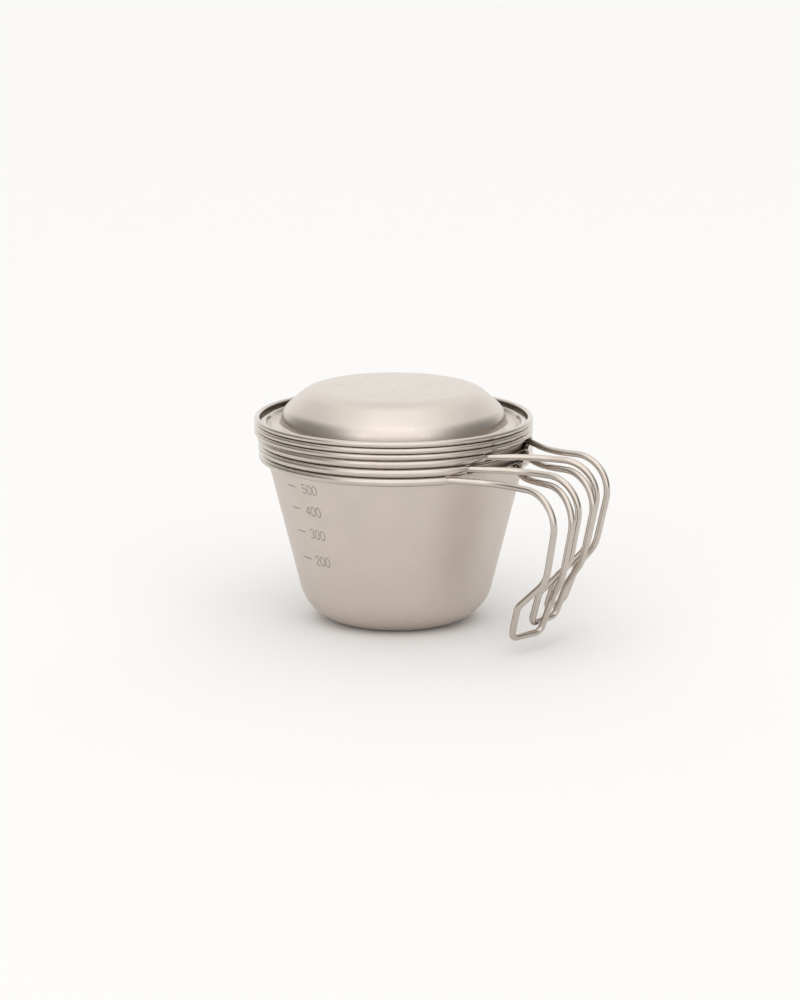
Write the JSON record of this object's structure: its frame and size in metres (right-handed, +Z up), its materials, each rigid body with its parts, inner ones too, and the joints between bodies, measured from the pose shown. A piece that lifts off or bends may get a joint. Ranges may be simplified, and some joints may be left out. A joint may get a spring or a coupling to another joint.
{
  "type": "cooking pot set",
  "caption": "Nested hiking cook set: tapered metal cups with folded wire loop handles, stacked inside each other under upside-down dishes that serve as lids.",
  "frame": {"origin": "middle of the large cup's flat underside, on the surface it stands on", "axes": "+Z up along the large cup's axis, +X along the large cup's handle, the longest way; +Y to its left, towards the other two handles"},
  "size_m": [0.1741, 0.1277, 0.1081],
  "materials": {
    "cup_titanium": "bead-blasted titanium, matte warm grey",
    "wire_titanium": "satin drawn titanium wire",
    "lid_titanium": "fine satin titanium sheet, a little brighter than the cups"
  },
  "bodies": {
    "large_cup": {"cup_large": "cup_titanium", "handle_large": "wire_titanium"},
    "medium_cup": {"cup_medium": "cup_titanium", "handle_medium": "wire_titanium"},
    "small_cup": {"cup_small": "cup_titanium", "handle_small": "wire_titanium"},
    "lower_lid": {"lid_lower": "lid_titanium"},
    "middle_lid": {"lid_middle": "lid_titanium"},
    "upper_lid": {"lid_upper": "lid_titanium"}
  },
  "joints": [
    {"name": "medium_cup_lift", "type": "slide", "parent": "large_cup", "child": "medium_cup", "axis": [0, 0.1822, 0.9833], "range_m": [0, 0.085]},
    {"name": "small_cup_lift", "type": "slide", "parent": "medium_cup", "child": "small_cup", "axis": [-0.0291, 0.1799, 0.9833], "range_m": [0, 0.085]},
    {"name": "lower_lid_lift", "type": "slide", "parent": "small_cup", "child": "lower_lid", "axis": [0, 0, 1], "range_m": [0, 0.04]},
    {"name": "middle_lid_lift", "type": "slide", "parent": "lower_lid", "child": "middle_lid", "axis": [0, 0, 1], "range_m": [0, 0.04]},
    {"name": "upper_lid_lift", "type": "slide", "parent": "middle_lid", "child": "upper_lid", "axis": [0, 0, 1], "range_m": [0, 0.04]}
  ]
}
